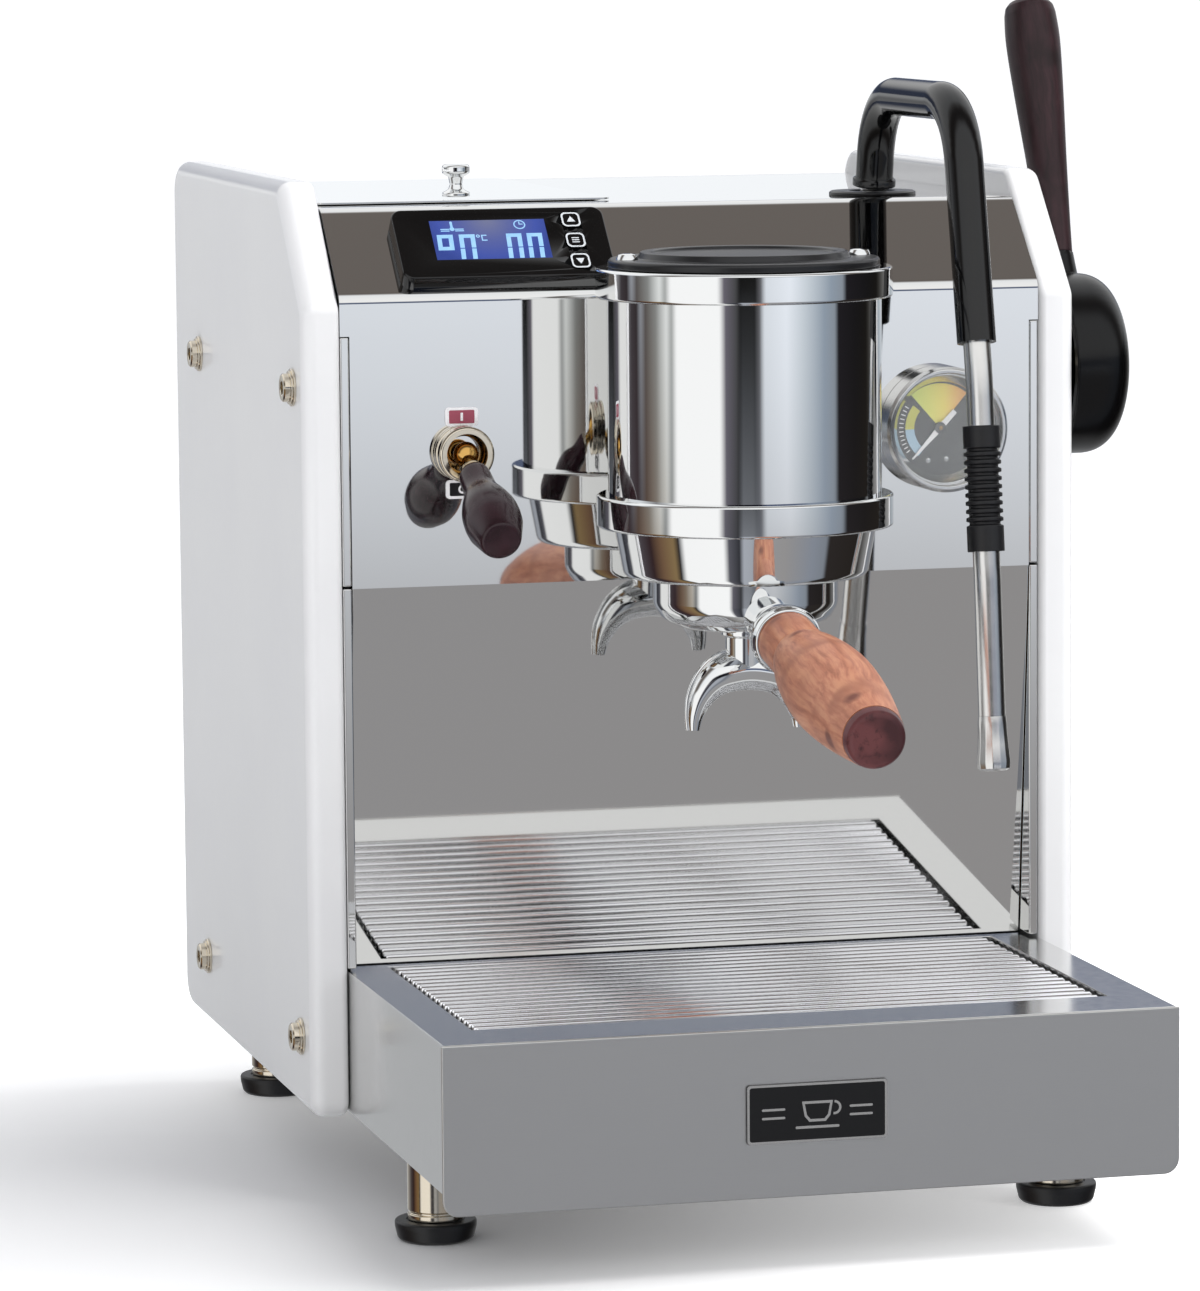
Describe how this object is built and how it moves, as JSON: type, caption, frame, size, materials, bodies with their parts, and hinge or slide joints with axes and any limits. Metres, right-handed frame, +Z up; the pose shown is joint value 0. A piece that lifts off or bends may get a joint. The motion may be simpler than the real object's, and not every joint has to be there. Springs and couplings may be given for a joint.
{
  "type": "espresso machine",
  "caption": "Countertop espresso machine with a saturated group, wooden portafilter handle, steam wand and lever, display, gauge and pull-out drip drawer.",
  "frame": {"origin": "on the table under the middle of the overall box", "axes": "+Z up, +X to the machine's right seen from the front, +Y to its back; the portafilter handle points to -Y"},
  "size_m": [0.3486, 0.541, 0.4686],
  "materials": {
    "lacquer_white": "gloss",
    "polished_steel": "mirror polished",
    "brushed_steel": "brushed",
    "chrome": "mirror",
    "black_plastic": "satin",
    "black_rubber": "matte",
    "black_gloss": "gloss",
    "screen_blue": "lit",
    "board_green": "satin",
    "brass": "machined",
    "plum_grip": "gloss",
    "dark_wood": "oiled",
    "handle_wood": "satin varnish",
    "dial_print": "printed",
    "needle_white": "matte",
    "clear_glass": "clear",
    "badge_black": "satin",
    "tank_plastic": "translucent",
    "swivel_ptfe": "matte",
    "steel_shaft": "turned",
    "copper_pipe": "drawn",
    "pump_plastic": "moulded"
  },
  "bodies": {
    "machine": {"side_panel_left": "lacquer_white", "side_panel_right": "lacquer_white", "machine_screws": "chrome", "inner_frame": "brushed_steel", "foot_posts": "chrome", "foot_pads": "black_rubber", "rear_panel": "brushed_steel", "power_inlet": "black_plastic", "front_panel": "polished_steel", "splash_panel": "polished_steel", "panel_trims": "polished_steel", "top_plate": "polished_steel", "display_case": "black_gloss", "display_screen": "screen_blue", "control_board": "board_green", "lever_bushing": "chrome", "brew_switch": "black_plastic", "gauge_case": "brushed_steel", "gauge_dial": "dial_print", "gauge_lens": "clear_glass", "group_body": "chrome", "group_rings": "chrome", "group_cap": "black_plastic", "group_bell": "chrome", "group_gasket": "black_rubber", "shower_screen": "brushed_steel", "wand_grommet": "black_plastic", "wand_socket": "brass", "steam_valve": "brass", "steam_boiler": "copper_pipe", "heating_element": "steel_shaft", "pump": "pump_plastic", "solenoid_valve": "brass", "pipes": "copper_pipe"},
    "portafilter": {"portafilter_bowl": "chrome", "filter_basket": "brushed_steel", "double_spout": "chrome", "portafilter_handle": "handle_wood", "handle_end_cap": "dark_wood"},
    "brew_lever": {"lever_stem": "brass", "lever_grip": "plum_grip"},
    "steam_lever": {"steam_hub": "black_plastic", "steam_spindle": "steel_shaft", "steam_lever_handle": "dark_wood"},
    "wand_swivel": {"wand_swivel_ring": "swivel_ptfe"},
    "steam_wand": {"wand_tube": "chrome", "wand_arm_sleeve": "black_plastic", "wand_grip_sleeve": "black_rubber", "wand_tip": "chrome"},
    "drip_drawer": {"tray_body": "polished_steel", "tray_front_plate": "brushed_steel", "badge_plate": "badge_black", "drip_pan": "brushed_steel"},
    "grille": {"drip_grille": "brushed_steel"},
    "tank": {"water_tank": "tank_plastic"},
    "lid": {"tank_lid": "polished_steel"},
    "key_up": {"button_up": "black_gloss"},
    "key_set": {"button_set": "black_gloss"},
    "key_down": {"button_down": "black_gloss"},
    "needle": {"gauge_needle": "needle_white"}
  },
  "joints": [
    {"name": "portafilter_twist", "type": "hinge", "parent": "machine", "child": "portafilter", "pos_m": [-0.0112, -0.0725, 0.256], "axis": [0, 0, 1], "range_deg": [-43, 6]},
    {"name": "brew_lever_swing", "type": "hinge", "parent": "machine", "child": "brew_lever", "pos_m": [-0.1064, -0.0095, 0.295], "axis": [-1, 0, 0], "range_deg": [0, 52]},
    {"name": "steam_lever_swing", "type": "hinge", "parent": "machine", "child": "steam_lever", "pos_m": [0.1548, 0.0315, 0.321], "axis": [1, 0, 0], "range_deg": [0, 46]},
    {"name": "wand_swivel_turn", "type": "hinge", "parent": "machine", "child": "wand_swivel", "pos_m": [0.0818, 0.0655, 0.382], "axis": [0, 0, 1], "range_deg": [-8, 26]},
    {"name": "wand_tilt", "type": "hinge", "parent": "wand_swivel", "child": "steam_wand", "pos_m": [0.0818, 0.0655, 0.382], "axis": [1, 0, 0], "range_deg": [-6, 2.5]},
    {"name": "drawer_slide", "type": "slide", "parent": "machine", "child": "drip_drawer", "axis": [0, -1, 0], "range_m": [0, 0.15]},
    {"name": "grille_lift", "type": "slide", "parent": "drip_drawer", "child": "grille", "axis": [0, 0, 1], "range_m": [0, 0.06]},
    {"name": "tank_lift", "type": "slide", "parent": "machine", "child": "tank", "axis": [0, 0, 1], "range_m": [0, 0.24]},
    {"name": "lid_lift", "type": "slide", "parent": "tank", "child": "lid", "axis": [0, 0, 1], "range_m": [0, 0.12]},
    {"name": "needle_turn", "type": "hinge", "parent": "machine", "child": "needle", "pos_m": [0.0888, -0.0045, 0.2994], "axis": [0, 1, 0], "range_deg": [0, 270], "stiffness_Nm_per_rad": 0.00002},
    {"name": "key_up_press", "type": "slide", "parent": "machine", "child": "key_up", "axis": [0, 0.6965, -0.7176], "range_m": [0, 0.0005], "stiffness_N_per_m": 400},
    {"name": "key_set_press", "type": "slide", "parent": "machine", "child": "key_set", "axis": [0, 0.6965, -0.7176], "range_m": [0, 0.0005], "stiffness_N_per_m": 400},
    {"name": "key_down_press", "type": "slide", "parent": "machine", "child": "key_down", "axis": [0, 0.6965, -0.7176], "range_m": [0, 0.0005], "stiffness_N_per_m": 400}
  ]
}
